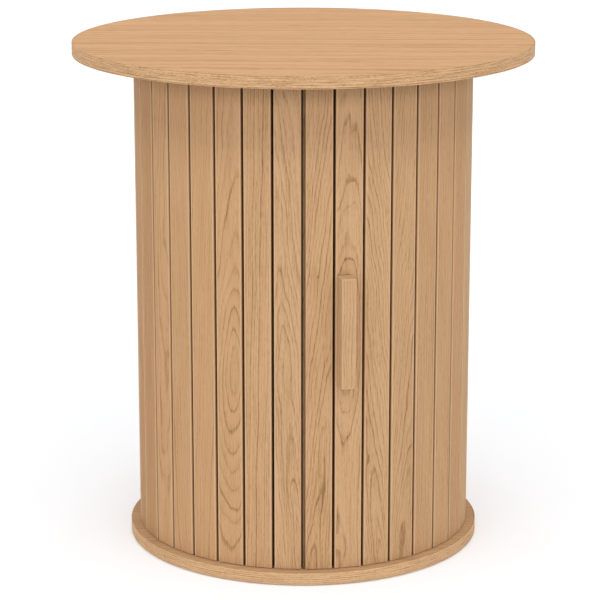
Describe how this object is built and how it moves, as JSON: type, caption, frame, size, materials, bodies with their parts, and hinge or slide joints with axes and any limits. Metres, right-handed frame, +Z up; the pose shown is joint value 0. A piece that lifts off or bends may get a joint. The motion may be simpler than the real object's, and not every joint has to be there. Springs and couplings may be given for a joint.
{
  "type": "round side table with tambour door",
  "caption": "Round side table: slatted oak column on a round base, round top, and a curved slatted sliding door with a bar handle.",
  "frame": {"origin": "on the floor at the middle of the base, under the felt pads", "axes": "+Z up, front towards -Y, +X to the right seen from the front"},
  "size_m": [0.4499, 0.45, 0.5],
  "materials": {
    "top_veneer": "matt lacquered oak veneer",
    "edge_strip": "matt lacquered oak edge strip, grain along the edge",
    "shell_veneer": "matt lacquered oak veneer on bent plywood",
    "solid_oak": "matt lacquered solid oak",
    "slat_oak": "matt lacquered oak slats, grain upright",
    "dark_backing": "dark brown matt backing",
    "canvas": "dark brown woven tambour canvas",
    "zinc_steel": "zinc plated",
    "brown_plastic": "moulded, matt dark brown",
    "felt": "pressed dark brown felt"
  },
  "bodies": {
    "cabinet": {"base_edge_band": "edge_strip", "base_plate": "top_veneer", "cabinet_ceiling": "top_veneer", "cabinet_floor": "top_veneer", "curved_shell": "shell_veneer", "felt_pads": "felt", "fixed_backing": "dark_backing", "fixed_slat_01": "slat_oak", "fixed_slat_02": "slat_oak", "fixed_slat_03": "slat_oak", "fixed_slat_04": "slat_oak", "fixed_slat_05": "slat_oak", "fixed_slat_06": "slat_oak", "fixed_slat_07": "slat_oak", "fixed_slat_08": "slat_oak", "fixed_slat_09": "slat_oak", "fixed_slat_10": "slat_oak", "fixed_slat_11": "slat_oak", "fixed_slat_12": "slat_oak", "front_post": "solid_oak", "groove_stops": "brown_plastic", "lower_post_screws": "zinc_steel", "rear_post": "solid_oak", "shelf": "top_veneer", "shelf_edge_band": "edge_strip", "shelf_pins": "zinc_steel", "shell_front_lipping": "solid_oak", "shell_rear_lipping": "solid_oak", "tabletop": "top_veneer", "tabletop_edge_band": "edge_strip", "tabletop_screws": "zinc_steel", "upper_post_screws": "zinc_steel"},
    "door": {"door_canvas": "canvas", "door_slat_01": "slat_oak", "door_slat_02": "slat_oak", "door_slat_03": "slat_oak", "door_slat_04": "slat_oak", "door_slat_05": "slat_oak", "door_slat_06": "slat_oak", "door_slat_07": "slat_oak", "door_slat_08": "slat_oak", "door_slat_09": "slat_oak", "door_slat_10": "slat_oak", "door_slat_11": "slat_oak", "door_slat_12": "slat_oak", "handle": "solid_oak", "handle_screws": "zinc_steel"}
  },
  "joints": [
    {"name": "door_slide", "type": "hinge", "parent": "cabinet", "child": "door", "pos_m": [0, 0, 0.25], "axis": [0, 0, 1], "range_deg": [0, 118.5]}
  ]
}
